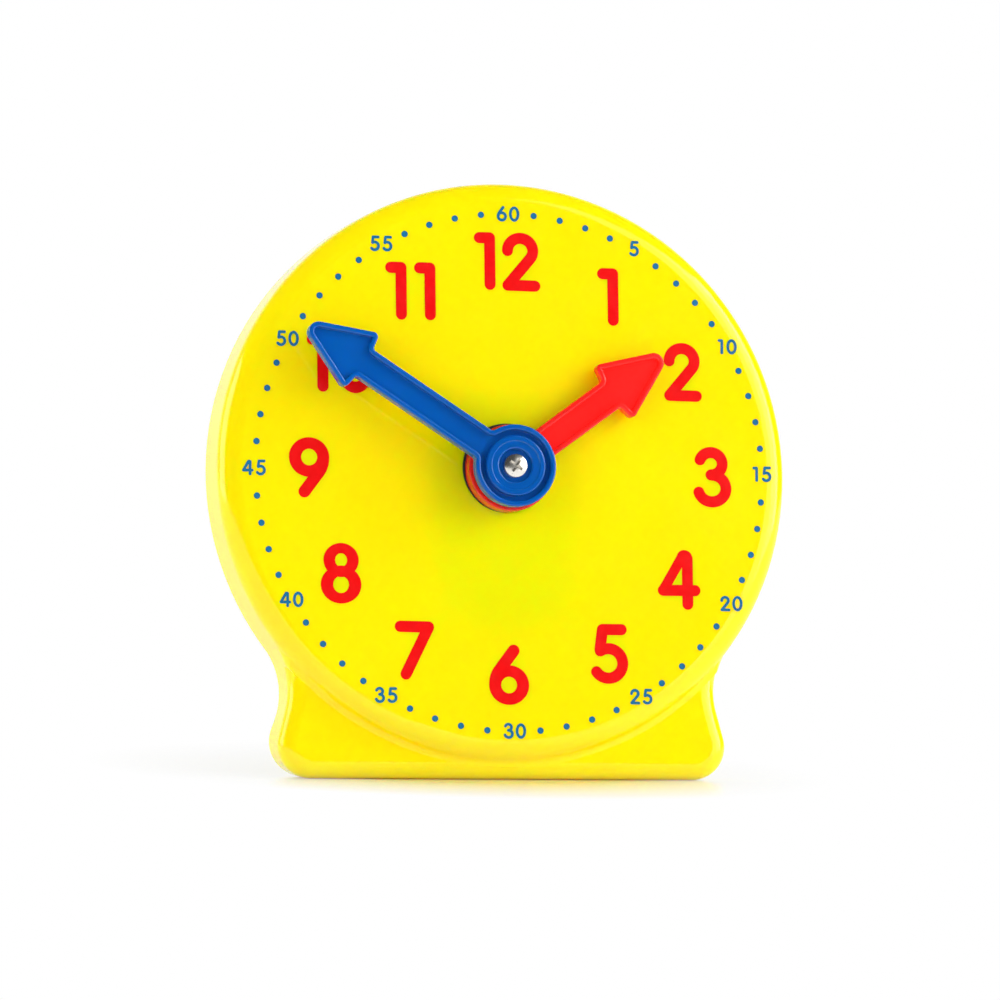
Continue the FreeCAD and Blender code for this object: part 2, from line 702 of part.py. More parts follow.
def idler_gear():
    """Idler wheel, driven by the minute pinion, with the pinion that drives the hour wheel."""
    solid = wheel(IDLER_WHEEL_TEETH, -MINUTE_SHIFT, IDLER_WHEEL_FRONT, IDLER_WHEEL_BACK)
    solid = solid.fuse(
        pinion(IDLER_PINION_TEETH, IDLER_SHIFT, IDLER_FRONT, IDLER_WHEEL_FRONT)
    )
    hub_back = COVER_FRONT - END_PLAY
    solid = solid.fuse(disc(IDLER_HUB_RADIUS, IDLER_WHEEL_FRONT, hub_back))
    bore = disc(IDLER_PIN_RADIUS + RUNNING, IDLER_FRONT - DEPTH_STEP, hub_back + DEPTH_STEP)
    solid = solid.cut(bore).removeSplitter()
    solid.translate(FreeCAD.Vector(0, 0, IDLER_Z))
    return solid


def idler_pin():
    front = FACE_THICKNESS + PIN_BOSS - IDLER_PIN_SEAT
    back = COVER_FRONT + IDLER_PIN_SEAT
    solid = turned([
        (0, front),
        (IDLER_PIN_RADIUS - IDLER_PIN_CHAMFER, front),
        (IDLER_PIN_RADIUS, front + IDLER_PIN_CHAMFER),
        (IDLER_PIN_RADIUS, back - IDLER_PIN_CHAMFER),
        (IDLER_PIN_RADIUS - IDLER_PIN_CHAMFER, back),
        (0, back),
    ])
    solid.translate(FreeCAD.Vector(0, 0, IDLER_Z))
    return solid


# Hands ----------------------------------------------------------------------------------


def hand_wire(reach, hub_radius):
    """Arrow and hub in one outline, pointing up."""
    barb = reach - HEAD_LENGTH
    notch = barb - HEAD_SWEEP
    # the apex lies beyond the rounded tip: its two sides are tangent to the tip's round
    tip_centre = reach - TIP_RADIUS
    run = tip_centre - barb
    slope = acos(run / hypot(run, HEAD_HALF_WIDTH)) - acos(
        sqrt(1 - (TIP_RADIUS / hypot(run, HEAD_HALF_WIDTH)) ** 2)
    )
    apex = barb + HEAD_HALF_WIDTH / tan(slope)
    arrow = Part.Face(rounded_wire([
        (0, apex, TIP_RADIUS),
        (HEAD_HALF_WIDTH, barb, BARB_RADIUS),
        (ARM_HALF_WIDTH, notch, NOTCH_RADIUS),
        (ARM_HALF_WIDTH, 0, 0),
        (-ARM_HALF_WIDTH, 0, 0),
        (-ARM_HALF_WIDTH, notch, NOTCH_RADIUS),
        (-HEAD_HALF_WIDTH, barb, BARB_RADIUS),
    ]))
    circle = Part.makeCircle(hub_radius, point(0, 0), Y_AXIS)
    return arrow.fuse(Part.Face(Part.Wire([circle]))).removeSplitter().Faces[0].OuterWire


def hand_blank(reach, hub_radius, top, back):
    """The hand's plate: rounded where the arm meets the hub, recessed inside its rims."""
    outline = hand_wire(reach, hub_radius)
    plate = prism(outline, top, back)
    join_z = sqrt(hub_radius ** 2 - ARM_HALF_WIDTH ** 2)
    joins = [
        e for e in plate.Edges
        if abs(e.BoundBox.YLength - (back - top)) < NEAR
        and abs(abs(e.CenterOfMass.x) - ARM_HALF_WIDTH) < NEAR
        and abs(e.CenterOfMass.z - join_z) < NEAR
    ]
    plate = plate.makeFillet(HUB_JOIN_RADIUS, joins)
    top_face = min(plate.Faces, key=lambda f: f.CenterOfMass.y)
    recess = top_face.OuterWire.makeOffset2D(-HAND_RIM)
    floor = back - HAND_FLOOR
    cutter = Part.Face(recess).extrude(FreeCAD.Vector(0, floor - top, 0))
    plate = plate.cut(cutter)
    return plate.makeFillet(HAND_EDGE, edges_at(plate, top))


def hour_hand():
    """Thin arrow on a taller hub that is pressed over the sleeve's flats."""
    arrow_back = HOUR_HAND_TOP + HAND_THICKNESS
    solid = hand_blank(HOUR_HAND_REACH, HOUR_HUB_RADIUS, HOUR_HAND_TOP, arrow_back)
    solid = solid.fuse(disc(HOUR_HUB_RADIUS, arrow_back - HAND_FLOOR / 2, HOUR_HAND_BACK))
    solid = solid.fuse(disc(HOUR_BOSS_RADIUS, HOUR_HAND_TOP, arrow_back))
    bore = disc(SLEEVE_RADIUS, HOUR_HAND_TOP - DEPTH_STEP, HOUR_HAND_BACK + DEPTH_STEP)
    span = SLEEVE_RADIUS + DEPTH_STEP
    between_flats = block(
        -SLEEVE_FLAT, SLEEVE_FLAT,
        HOUR_HAND_TOP - DEPTH_STEP, HOUR_HAND_BACK + DEPTH_STEP, -span, span,
    )
    solid = solid.cut(bore.common(between_flats)).removeSplitter()
    return turn(solid, HOUR_HAND_ANGLE)


def minute_hand():
    """Arrow whose hub holds a raised boss with a well for the screw."""
    solid = hand_blank(
        MINUTE_HAND_REACH, MINUTE_HUB_RADIUS, MINUTE_HAND_TOP, MINUTE_HAND_BACK
    )
    groove = ring(
        MINUTE_HUB_RADIUS - HAND_RIM, MINUTE_BOSS_RADIUS - HAND_EDGE,
        MINUTE_HAND_TOP, MINUTE_HAND_BACK - HAND_FLOOR + GROOVE_DEEPER,
    )
    well = disc(SCREW_WELL_RADIUS, MINUTE_HAND_TOP - DEPTH_STEP, SCREW_SEAT)
    solid = solid.cut(groove).cut(well)
    edge = HAND_EDGE
    step_depth = MINUTE_HAND_TOP + MINUTE_BOSS_STEP
    boss = turned([
        (0, SCREW_SEAT),
        (SCREW_WELL_RADIUS, SCREW_SEAT),
        (SCREW_WELL_RADIUS, step_depth + edge),
        quarter(SCREW_WELL_RADIUS, step_depth, edge, -1, -1),
        (SCREW_WELL_RADIUS + edge, step_depth),
        (MINUTE_BOSS_STEP_RADIUS - MINUTE_BOSS_STEP, step_depth),
        (MINUTE_BOSS_STEP_RADIUS, MINUTE_HAND_TOP),
        (MINUTE_BOSS_RADIUS - edge, MINUTE_HAND_TOP),
        quarter(MINUTE_BOSS_RADIUS, MINUTE_HAND_TOP, edge, 1, -1),
        (MINUTE_BOSS_RADIUS, MINUTE_HAND_TOP + edge),
        (MINUTE_BOSS_RADIUS, MINUTE_HAND_BACK),
        (MINUTE_SKIRT_RADIUS, MINUTE_HAND_BACK),
        (MINUTE_SKIRT_RADIUS, MINUTE_SKIRT_BACK),
        (0, MINUTE_SKIRT_BACK),
    ])
    solid = solid.fuse(boss)
    hole = disc(HAND_SCREW_RADIUS + SCREW_HOLE_GAP, SCREW_SEAT - DEPTH_STEP, ARBOR_END)
    bore = disc(ARBOR_END_RADIUS, ARBOR_END, MINUTE_SKIRT_BACK + DEPTH_STEP)
    span = ARBOR_END_RADIUS + DEPTH_STEP
    between_flats = block(
        -ARBOR_FLAT, ARBOR_FLAT, ARBOR_END, MINUTE_SKIRT_BACK + DEPTH_STEP, -span, span
    )
    solid = solid.cut(hole).cut(bore.common(between_flats)).removeSplitter()
    return turn(solid, MINUTE_HAND_ANGLE)


# Assembly -------------------------------------------------------------------------------


def stand_up(shape):
    """Leans a piece back with the dial and sets the foot's bottom centre at the origin."""
    lean = radians(LEAN)
    flat_middle = (FOOT_STEP + FOOT_FILLET + CASE_DEPTH) / 2
    flat_z = -HUB_HEIGHT + flat_middle * tan(lean)
    shape = shape.copy()
    shape.translate(FreeCAD.Vector(0, -flat_middle, -flat_z))
    shape.rotate(FreeCAD.Vector(0, 0, 0), FreeCAD.Vector(1, 0, 0), -LEAN)
    return shape


def pieces():
    made = {
        "front_shell": front_shell(),
        "gear_cover": gear_cover(),
        "idler_pin": idler_pin(),
        "friction_washer": friction_washer(),
        "wave_washer": wave_washer(),
        "hour_wheel": hour_wheel(),
        "hour_hand": hour_hand(),
        "idler_gear": idler_gear(),
        "minute_arbor": minute_arbor(),
        "minute_hand": minute_hand(),
        "hand_screw": hand_screw(),
    }
    for number, place in enumerate(SCREW_PLACES, start=1):
        made[f"cover_screw_{number}"] = cover_screw(place)
    return made


def main():
    os.makedirs("parts", exist_ok=True)
    for name, shape in pieces().items():
        solid = stand_up(shape)
        print(f"{name}: {len(solid.Solids)} solid, {solid.Volume:.1f} mm3, valid {solid.isValid()}")
        solid.exportStep(f"parts/{name}.step")


main()
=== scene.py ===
import json
from math import cos, pi, radians, sin

import bmesh
import bpy
from mathutils import Matrix, Vector, geometry


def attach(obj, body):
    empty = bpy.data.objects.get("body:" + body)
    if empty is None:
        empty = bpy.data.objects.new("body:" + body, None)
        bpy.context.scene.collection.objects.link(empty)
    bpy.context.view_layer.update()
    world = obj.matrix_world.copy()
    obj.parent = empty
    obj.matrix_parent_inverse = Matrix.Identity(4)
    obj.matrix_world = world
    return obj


# Looks of the geared teaching clock. Lengths are in millimetres unless a name ends in _M.
MM = 0.001

# Print on the dial. Every line has round ends.
STROKE = 2.2
INK_THICKNESS = 0.03
INK_SINK = 0.01
CAP_STEPS = 10
RING_STEPS = 40
ARC_STEPS = 32
WELD = 1e-5                  # corners of the print closer than this are one


def arc(centre, reach, start, end):
    """Points along part of an ellipse; degrees run anticlockwise from the right."""
    turns = [radians(start + (end - start) * k / ARC_STEPS) for k in range(ARC_STEPS + 1)]
    return [(centre[0] + reach[0] * cos(a), centre[1] + reach[1] * sin(a)) for a in turns]


# Strokes of each figure, from the middle of its foot: ("line", width, points) or
# ("ring", widths at its sides and at its top and foot, centre, reach across and up).
GLYPHS = {
    "0": (("ring", (2.25, 2.25), (0, 4.65), (2.9, 4.65)),),
    "1": (
        ("line", STROKE, [(-2.05, 9.2), (0, 9.2)]),
        ("line", STROKE, [(0, 9.2), (0, 0)]),
    ),
    "2": (
        ("line", STROKE, arc((-0.05, 6.85), (2.55, 2.47), 180, -40) + [(-2.6, 0)]),
        ("line", STROKE, [(-2.6, 0), (2.85, -0.1)]),
    ),
    "3": (
        ("line", STROKE, arc((-0.08, 7.4), (2.33, 2.22), 160, -90)),
        ("line", STROKE, arc((0.1, 2.5), (2.83, 2.65), 90, -163)),
    ),
    "4": (
        ("line", STROKE, [(1.55, 9.0), (1.55, -0.05)]),
        ("line", 2.0, [(-3.4, 2.7), (0.4, 9.1)]),
        ("line", STROKE, [(-3.4, 2.65), (3.05, 2.65)]),
        ("line", 2.9, [(0.9, 9.2), (1.1, 9.15)]),
    ),
    "5": (
        ("line", STROKE, [(2.6, 9.45), (-1.2, 9.45)]),
        ("line", STROKE, [(-1.2, 9.45), (-1.75, 5.5)]),
        ("line", STROKE, arc((-0.11, 2.8), (2.92, 2.91), 123, -145)),
    ),
    "6": (
        ("ring", (2.4, 2.25), (0, 2.75), (2.8, 2.75)),
        ("line", 2.35, arc((1.6, 3.0), (4.4, 4.4), 180, 146) + [(1.0, 9.5)]),
    ),
    "7": (
        ("line", STROKE, [(-2.8, 9.3), (2.85, 9.2)]),
        ("line", STROKE, [(2.85, 9.2), (-1.75, 0)]),
    ),
    "8": (
        ("ring", (2.3, 2.0), (0.05, 7.43), (2.35, 2.33)),
        ("ring", (2.45, 2.05), (0, 2.65), (2.8, 2.68)),
    ),
}
SIX_RING_Z = 2.75            # a nine is a six turned about its ring's middle

# The print is centred this far from the hands' axis.
PRINT_X = 0.8
PRINT_Z = -0.4

# Hour numerals: digits and the place of each one's foot, x to the right and z up the dial
NUMERALS = {
    "12": (("1", -3.65, 37.0), ("2", 2.55, 36.9)),
    "1": (("1", 21.2, 30.35),),
    "2": (("2", 35.05, 15.65),),
    "3": (("3", 40.7, -5.2),),
    "4": (("4", 33.95, -25.6),),
    "5": (("5", 19.3, -40.25),),
    "6": (("6", -0.85, -44.6),),
    "7": (("7", -19.7, -39.85),),
    "8": (("8", -34.2, -25.15),),
    "9": (("9", -40.3, -0.4),),
    "10": (("1", -37.4, 16.3), ("0", -30.9, 16.15)),
    "11": (("1", -21.55, 30.75), ("1", -15.75, 30.75)),
}

# Minute print: a number at every fifth minute and a dot at the others
MINUTE_SCALE = 0.266
MINUTE_STROKE = 0.56
MINUTE_PITCH = 2.5
AFTER_ONE = 0.5              # digits stand this much closer after a one
MINUTE_HEIGHT = 2.45
MINUTE_NUMBERS = {
    60: (0.15, 51.0), 5: (25.6, 44.65), 10: (44.25, 25.5), 15: (50.95, 0.25),
    20: (44.35, -25.45), 25: (25.75, -43.95), 30: (0.15, -50.85), 35: (-25.5, -44.0),
    40: (-44.0, -25.5), 45: (-51.2, 0.15), 50: (-44.4, 25.55), 55: (-25.5, 44.6),
}
DOT_RING = 51.0
DOT_RADIUS = 0.64
DOT_STEPS = 20
MINUTE_TURN = 6              # degrees from one minute to the next

# Colours, linear: each material drifts from a darker one to a lighter one.
YELLOW = ((0.87, 0.855, 0.0), (0.895, 0.885, 0.0))
RED = ((0.90, 0.014, 0.012), (0.95, 0.022, 0.018))
BLUE = ((0.0, 0.090, 0.42), (0.0, 0.107, 0.485))
ACETAL_WHITE = ((0.80, 0.79, 0.74), (0.86, 0.85, 0.81))
FIBRE_BLACK = ((0.012, 0.012, 0.013), (0.035, 0.034, 0.033))
STEEL = ((0.55, 0.55, 0.56), (0.66, 0.66, 0.67))
NICKEL = ((0.86, 0.82, 0.74), (0.95, 0.92, 0.86))
RED_INK = ((0.88, 0.001, 0.002), (0.95, 0.003, 0.004))
BLUE_INK = ((0.008, 0.15, 0.33), (0.012, 0.175, 0.38))

# Roughness, from the smoothest patches to the dullest
CASE_GLOSS = (0.07, 0.13)
HAND_GLOSS = (0.08, 0.15)
ACETAL_GLOSS = (0.38, 0.52)
FIBRE_GLOSS = (0.6, 0.85)
STEEL_GLOSS = (0.2, 0.34)
NICKEL_GLOSS = (0.22, 0.34)
INK_GLOSS = (0.12, 0.2)

# Plastics: refraction, the share of the light that goes in and comes out again, and how
# far red, green and blue travel inside, before the scale
PLASTIC_IOR = 1.5
ABS_SCATTER = 0.8
ABS_TRAVEL_M = (0.008, 0.001, 0.0003)
ABS_TRAVEL_SCALE = 1.0
ACETAL_SCATTER = 0.15
ACETAL_TRAVEL_M = (0.001, 0.0009, 0.0007)
ACETAL_TRAVEL_SCALE = 0.05

# Depths of the fine relief
ORANGE_PEEL_M = 0.0000035
SCRATCH_M = 0.0000006
CROSS_SCRATCH_M = 0.0000005
ACETAL_GRAIN_M = 0.000004
FIBRE_GRAIN_M = 0.00002
BRUSHING_M = 0.000004
METAL_GRAIN_M = 0.000002
INK_GRAIN_M = 0.000002

# Patterns: most of a noise lies between these two, brush marks and scratches are drawn
# out along one axis, and a scratch is this wide against the cell it bounds.
NOISE_LOW = 0.3
NOISE_HIGH = 0.7
BRUSHED = (1.0, 0.05, 1.0)
DRAWN_OUT = (1.0, 1.0, 0.06)
SCRATCH_WIDTH = 0.03

# Camera: long lens, a little to the clock's left; its turns are in degrees.
AIM_X = -1.407               # aimed this far right of the hands' axis
AIM_Z = -5.944               # and this far up the dial from it
CAMERA_DISTANCE = 1466.79
CAMERA_SWING = 13.578
CAMERA_DOWN = 0.768
CAMERA_ROLL = 0.963
LENS = 270
SENSOR = 36

# Lamps: degrees round from the front, positive to the right, and degrees up; then the
# distance from the hub, width and height in metres, and the radiance
LAMPS = {
    "right_front": (33, 14, 3.0, 1.3, 3.0, 1.5),
    "right_middle": (57, 14, 3.0, 1.35, 3.0, 3.15),
    "right_rear": (77, 14, 3.0, 0.85, 3.0, 5.3),
    "left_strip": (-105, 8, 1.2, 0.7, 0.95, 2.8),
    "left_fill": (-50, 12, 3.0, 1.6, 1.6, 2.3),
}
NEVER_MIRRORED = "left_fill"

# World: its level in front of the clock and behind it, and the two places along Y, out of
# -1 to 1, between which the one turns into the other
ROOM = (0.42, 1.0, -0.3, 0.5)
MIRRORED_ROOM = (0.05, 1.0, 0.6, 0.9)

# Floor: polished within an ellipse round the clock, and plain white further out
FLOOR_HALF_M = 6.0
POLISH_MIDDLE_Y_M = 0.04
POLISH_REACH_X_M = 0.073
POLISH_REACH_Y_M = 0.115
WHITE_FROM = 0.5             # where white sets in, as a share of the reach
FLOOR_WHITE = 0.92           # how pale it looks
FLOOR_BOUNCE = 0.8           # and how much light it sends back to the clock
FLOOR_ROUGHNESS = 0.22
FLOOR_IOR = 1.5

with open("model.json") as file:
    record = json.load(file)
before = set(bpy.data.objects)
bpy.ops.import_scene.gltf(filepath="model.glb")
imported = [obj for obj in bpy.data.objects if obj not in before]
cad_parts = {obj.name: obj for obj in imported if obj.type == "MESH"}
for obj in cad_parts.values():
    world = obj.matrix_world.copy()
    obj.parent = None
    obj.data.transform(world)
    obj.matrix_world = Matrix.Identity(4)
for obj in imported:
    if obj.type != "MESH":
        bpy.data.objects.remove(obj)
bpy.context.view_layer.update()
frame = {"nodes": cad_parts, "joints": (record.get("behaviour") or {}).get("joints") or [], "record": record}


# Dial frame -----------------------------------------------------------------------------


def dial_axes():
    """The hands' axis on the dial's face, and the directions right, into and up the dial."""
    joint = next(j for j in frame["joints"] if j["name"] == "minute_turn")
    right = Vector((1, 0, 0))
    into = Vector(joint["axis"]).normalized()
    return Vector(joint["pos_m"]), right, into, right.cross(into)


HUB, RIGHT, INTO, UP = dial_axes()


def on_dial(x, z, depth=0.0):
    return HUB + MM * (x * RIGHT + z * UP + depth * INTO)


# Print ----------------------------------------------------------------------------------


def ribbon(path, half):
    """Outline of a stroke along a path, with round ends."""
    count = len(path)
    left = []
    right = []
    for i in range(count):
        along = (path[min(i + 1, count - 1)] - path[max(i - 1, 0)]).normalized()
        across = Vector((-along.y, along.x)) * half
        left.append(path[i] + across)
        right.append(path[i] - across)

    def cap(centre, start):
        turns = [Matrix.Rotation(-pi * k / CAP_STEPS, 2) for k in range(1, CAP_STEPS)]
        return [centre + turn @ (start - centre) for turn in turns]

    return left + cap(path[-1], left[-1]) + right[::-1] + cap(path[0], right[0])


def ring_halves(centre, reach, half):
    """Outlines of a ring's right and left halves."""
    outer = reach + half
    inner = reach - half
    outlines = []
    for start in (-pi / 2, pi / 2):
        angles = [start + pi * k / RING_STEPS for k in range(RING_STEPS + 1)]
        out = [centre + Vector((outer.x * cos(a), outer.y * sin(a))) for a in angles]
        back = [centre + Vector((inner.x * cos(a), inner.y * sin(a))) for a in angles]
        outlines.append(out + back[::-1])
    return outlines


def stroke_outlines(stroke, scale, width):
    """Outlines of one stroke; a width given here replaces its own."""
    kind, own_width, *shape = stroke
    if kind == "ring":
        centre, reach = (Vector(pair) * scale for pair in shape)
        half = Vector((width, width)) / 2 if width else Vector(own_width) * scale / 2
        return ring_halves(centre, reach, half)
    half = (width or own_width * scale) / 2
    return [ribbon([Vector(p) * scale for p in shape[0]], half)]


def digit_outlines(digit, x, z, scale=1.0, width=None):
    """Outlines of one digit with its foot at this place on the print."""
    turned_over = digit == "9"
    glyph = GLYPHS["6" if turned_over else digit]
    outlines = []
    for stroke in glyph:
        for outline in stroke_outlines(stroke, scale, width):
            if turned_over:
                outline = [Vector((-p.x, 2 * SIX_RING_Z * scale - p.y)) for p in outline]
            outlines.append([p + Vector((x + PRINT_X, z + PRINT_Z)) for p in outline])
    return outlines


def dot_outline(minute):
    angle = radians(90 - MINUTE_TURN * minute)
    centre = Vector((DOT_RING * cos(angle) + PRINT_X, DOT_RING * sin(angle) + PRINT_Z))
    turns = [2 * pi * k / DOT_STEPS for k in range(DOT_STEPS)]
    return [centre + DOT_RADIUS * Vector((cos(a), sin(a))) for a in turns]


def anticlockwise(outline):
    twice_area = sum(a.cross(b) for a, b in zip(outline, outline[1:] + outline[:1]))
    return outline if twice_area > 0 else outline[::-1]


def union(outlines):
    """Corners and triangles of the area that these outlines cover together."""
    corners = []
    faces = []
    for outline in map(anticlockwise, outlines):
        faces.append(list(range(len(corners), len(corners) + len(outline))))
        corners.extend(outline)
    flat = geometry.delaunay_2d_cdt(corners, [], faces, 0, WELD)
    places, _, triangles, _, _, covered_by = flat
    return places, [face for face, sources in zip(triangles, covered_by) if sources]


def piece(name, mesh, material, body):
    obj = bpy.data.objects.new(name, mesh)
    bpy.context.scene.collection.objects.link(obj)
    mesh.materials.append(material)
    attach(obj, body)


def ink(name, outlines, material):
    """One closed film of ink on the dial's face over the union of these outlines."""
    places, triangles = union(outlines)
    bm = bmesh.new()
    layers = []
    for depth in (-INK_THICKNESS, INK_SINK):
        verts = [bm.verts.new(on_dial(p.x, p.y, depth)) for p in places]
        layers.append(verts)
        for triangle in triangles:
            bm.faces.new([verts[i] for i in triangle])
    front, back = layers
    twin = dict(zip(front, back))
    rim = [e for e in bm.edges if len(e.link_faces) == 1 and e.verts[0] in twin]
    for edge in rim:
        a, b = edge.verts
        bm.faces.new((a, b, twin[b], twin[a]))
    loose = [v for v in bm.verts if not v.link_faces]
    bmesh.ops.delete(bm, geom=loose, context="VERTS")
    bmesh.ops.recalc_face_normals(bm, faces=bm.faces)
    mesh = bpy.data.meshes.new(name)
    bm.to_mesh(mesh)
    bm.free()
    piece(name, mesh, material, "case")


def print_numerals(material):
    for number, digits in NUMERALS.items():
        outlines = []
        for digit, x, z in digits:
            outlines += digit_outlines(digit, x, z)
        ink("numeral_" + number, outlines, material)


def print_minutes(material):
    for number, (x, z) in MINUTE_NUMBERS.items():
        digits = str(number)
        pitch = MINUTE_PITCH - AFTER_ONE if digits[0] == "1" else MINUTE_PITCH
        outlines = []
        for place, digit in enumerate(digits):
            offset = (place - (len(digits) - 1) / 2) * pitch
            outlines += digit_outlines(
                digit, x + offset, z - MINUTE_HEIGHT / 2, MINUTE_SCALE, MINUTE_STROKE
            )
        ink("minutes_%02d" % number, outlines, material)
    dots = [dot_outline(m) for m in range(1, 60) if m not in MINUTE_NUMBERS]
    ink("minute_dots", dots, material)


# Materials ------------------------------------------------------------------------------


class Graph:
    """The node tree of a material or a world, under construction."""

    def __init__(self, owner):
        owner.use_nodes = True
        self.tree = owner.node_tree

    def link(self, source, target):
        self.tree.links.new(source, target)

    def node(self, kind, **inputs):
        made = self.tree.nodes.new(kind)
        for key, value in inputs.items():
            made.inputs[key].default_value = value
        return made

    def between(self, factor, low, high, start, end):
        """Goes from low to high as the factor goes from start to end."""
        spread = self.node("ShaderNodeMapRange")
        limits = {"From Min": start, "From Max": end, "To Min": low, "To Max": high}
        for key, value in limits.items():
            spread.inputs[key].default_value = value
        self.link(factor, spread.inputs["Value"])
        return spread.outputs["Result"]

    def blend(self, factor, first, second):
        """A shader that turns from the first into the second as the factor goes to 1."""
        mix = self.node("ShaderNodeMixShader")
        self.link(factor, mix.inputs["Fac"])
        self.link(first, mix.inputs[1])
        self.link(second, mix.inputs[2])
        return mix.outputs[0]


class Look(Graph):
    """A material under construction, with its main shader at hand."""

    def __init__(self, name):
        self.material = bpy.data.materials.new(name)
        super().__init__(self.material)
        self.shader = self.tree.nodes["Principled BSDF"]
        self.place = self.node("ShaderNodeTexCoord").outputs["Object"]

    def noise(self, scale, detail, stretch=None):
        texture = self.node("ShaderNodeTexNoise", Scale=scale, Detail=detail)
        source = self.place
        if stretch:
            mapping = self.node("ShaderNodeMapping", Scale=stretch)
            self.link(source, mapping.inputs["Vector"])
            source = mapping.outputs["Vector"]
        self.link(source, texture.inputs["Vector"])
        return texture.outputs["Fac"]

    def scratches(self, scale, turn):
        """Fine hair scratches: the edges of the cells of a drawn-out Voronoi pattern."""
        mapping = self.node("ShaderNodeMapping", Scale=DRAWN_OUT, Rotation=turn)
        self.link(self.place, mapping.inputs["Vector"])
        cells = self.node("ShaderNodeTexVoronoi", Scale=scale)
        cells.feature = "DISTANCE_TO_EDGE"
        self.link(mapping.outputs["Vector"], cells.inputs["Vector"])
        return self.between(cells.outputs["Distance"], 0.0, 1.0, 0.0, SCRATCH_WIDTH)

    def colours(self, factor, dark, light):
        ramp = self.node("ShaderNodeValToRGB")
        low, high = ramp.color_ramp.elements
        low.position = NOISE_LOW
        low.color = (*dark, 1)
        high.position = NOISE_HIGH
        high.color = (*light, 1)
        self.link(factor, ramp.inputs["Fac"])
        self.link(ramp.outputs["Color"], self.shader.inputs["Base Color"])

    def roughness(self, factor, low, high):
        spread = self.between(factor, low, high, NOISE_LOW, NOISE_HIGH)
        self.link(spread, self.shader.inputs["Roughness"])

    def bumps(self, *layers):
        """Each layer is (height, depth in metres); the layers add up."""
        normal = None
        for height, depth in layers:
            bump = self.node("ShaderNodeBump", Strength=1.0, Distance=depth)
            self.link(height, bump.inputs["Height"])
            if normal:
                self.link(normal, bump.inputs["Normal"])
            normal = bump.outputs["Normal"]
        self.link(normal, self.shader.inputs["Normal"])

    def scatter(self, share, travel, scale):
        self.shader.inputs["Subsurface Weight"].default_value = share
        self.shader.inputs["Subsurface Radius"].default_value = travel
        self.shader.inputs["Subsurface Scale"].default_value = scale


def moulded_plastic(name, colours, gloss):
    """Glossy moulded ABS: soft colour drift, hazy patches, orange peel and hair scratches."""
    look = Look(name)
    look.colours(look.noise(scale=45, detail=2), *colours)
    look.roughness(look.noise(scale=160, detail=6), *gloss)
    look.bumps(
        (look.noise(scale=900, detail=2), ORANGE_PEEL_M),
        (look.scratches(scale=320, turn=(0.5, 0.9, 0.3)), SCRATCH_M),
        (look.scratches(scale=260, turn=(1.2, -0.6, 0.8)), CROSS_SCRATCH_M),
    )
    look.scatter(ABS_SCATTER, ABS_TRAVEL_M, ABS_TRAVEL_SCALE)
    look.shader.subsurface_method = "BURLEY"
    look.shader.inputs["IOR"].default_value = PLASTIC_IOR
    return look.material


def satin_acetal(name):
    """Dull white acetal with a fine grain."""
    look = Look(name)
    look.colours(look.noise(scale=120, detail=4), *ACETAL_WHITE)
    look.roughness(look.noise(scale=600, detail=4), *ACETAL_GLOSS)
    look.bumps((look.noise(scale=3500, detail=3), ACETAL_GRAIN_M))
    look.scatter(ACETAL_SCATTER, ACETAL_TRAVEL_M, ACETAL_TRAVEL_SCALE)
    return look.material


def black_fibre(name):
    """Pressed fibre: flecked and coarse."""
    look = Look(name)
    look.colours(look.noise(scale=1500, detail=5), *FIBRE_BLACK)
    look.roughness(look.noise(scale=900, detail=4), *FIBRE_GLOSS)
    look.bumps((look.noise(scale=5000, detail=4), FIBRE_GRAIN_M))
    return look.material


def metal(name, colours, gloss, brushing):
    """Bright metal with brush marks, this many to the metre, and a fine grain."""
    look = Look(name)
    look.colours(look.noise(scale=400, detail=5), *colours)
    look.roughness(look.noise(scale=700, detail=4), *gloss)
    look.bumps(
        (look.noise(scale=brushing, detail=4, stretch=BRUSHED), BRUSHING_M),
        (look.noise(scale=5000, detail=3), METAL_GRAIN_M),
    )
    look.shader.inputs["Metallic"].default_value = 1.0
    return look.material


def print_ink(name, colours):
    """Pad-printed ink: a little flatter than the plastic, with a soft grain."""
    look = Look(name)
    look.colours(look.noise(scale=700, detail=5), *colours)
    look.roughness(look.noise(scale=500, detail=4), *INK_GLOSS)
    look.bumps((look.noise(scale=4000, detail=3), INK_GRAIN_M))
    return look.material


def dress_nodes():
    looks = {
        "yellow_abs": moulded_plastic("yellow_abs", YELLOW, CASE_GLOSS),
        "red_abs": moulded_plastic("red_abs", RED, HAND_GLOSS),
        "blue_abs": moulded_plastic("blue_abs", BLUE, HAND_GLOSS),
        "white_acetal": satin_acetal("white_acetal"),
        "black_fibre": black_fibre("black_fibre"),
        "steel": metal("steel", STEEL, STEEL_GLOSS, brushing=2500),
        "nickel": metal("nickel", NICKEL, NICKEL_GLOSS, brushing=3000),
    }
    for part in frame["record"]["subparts"]:
        node = frame["nodes"][part["node"]]
        node.data.materials.clear()
        node.data.materials.append(looks[part["material_slot"]])


# Stage ----------------------------------------------------------------------------------


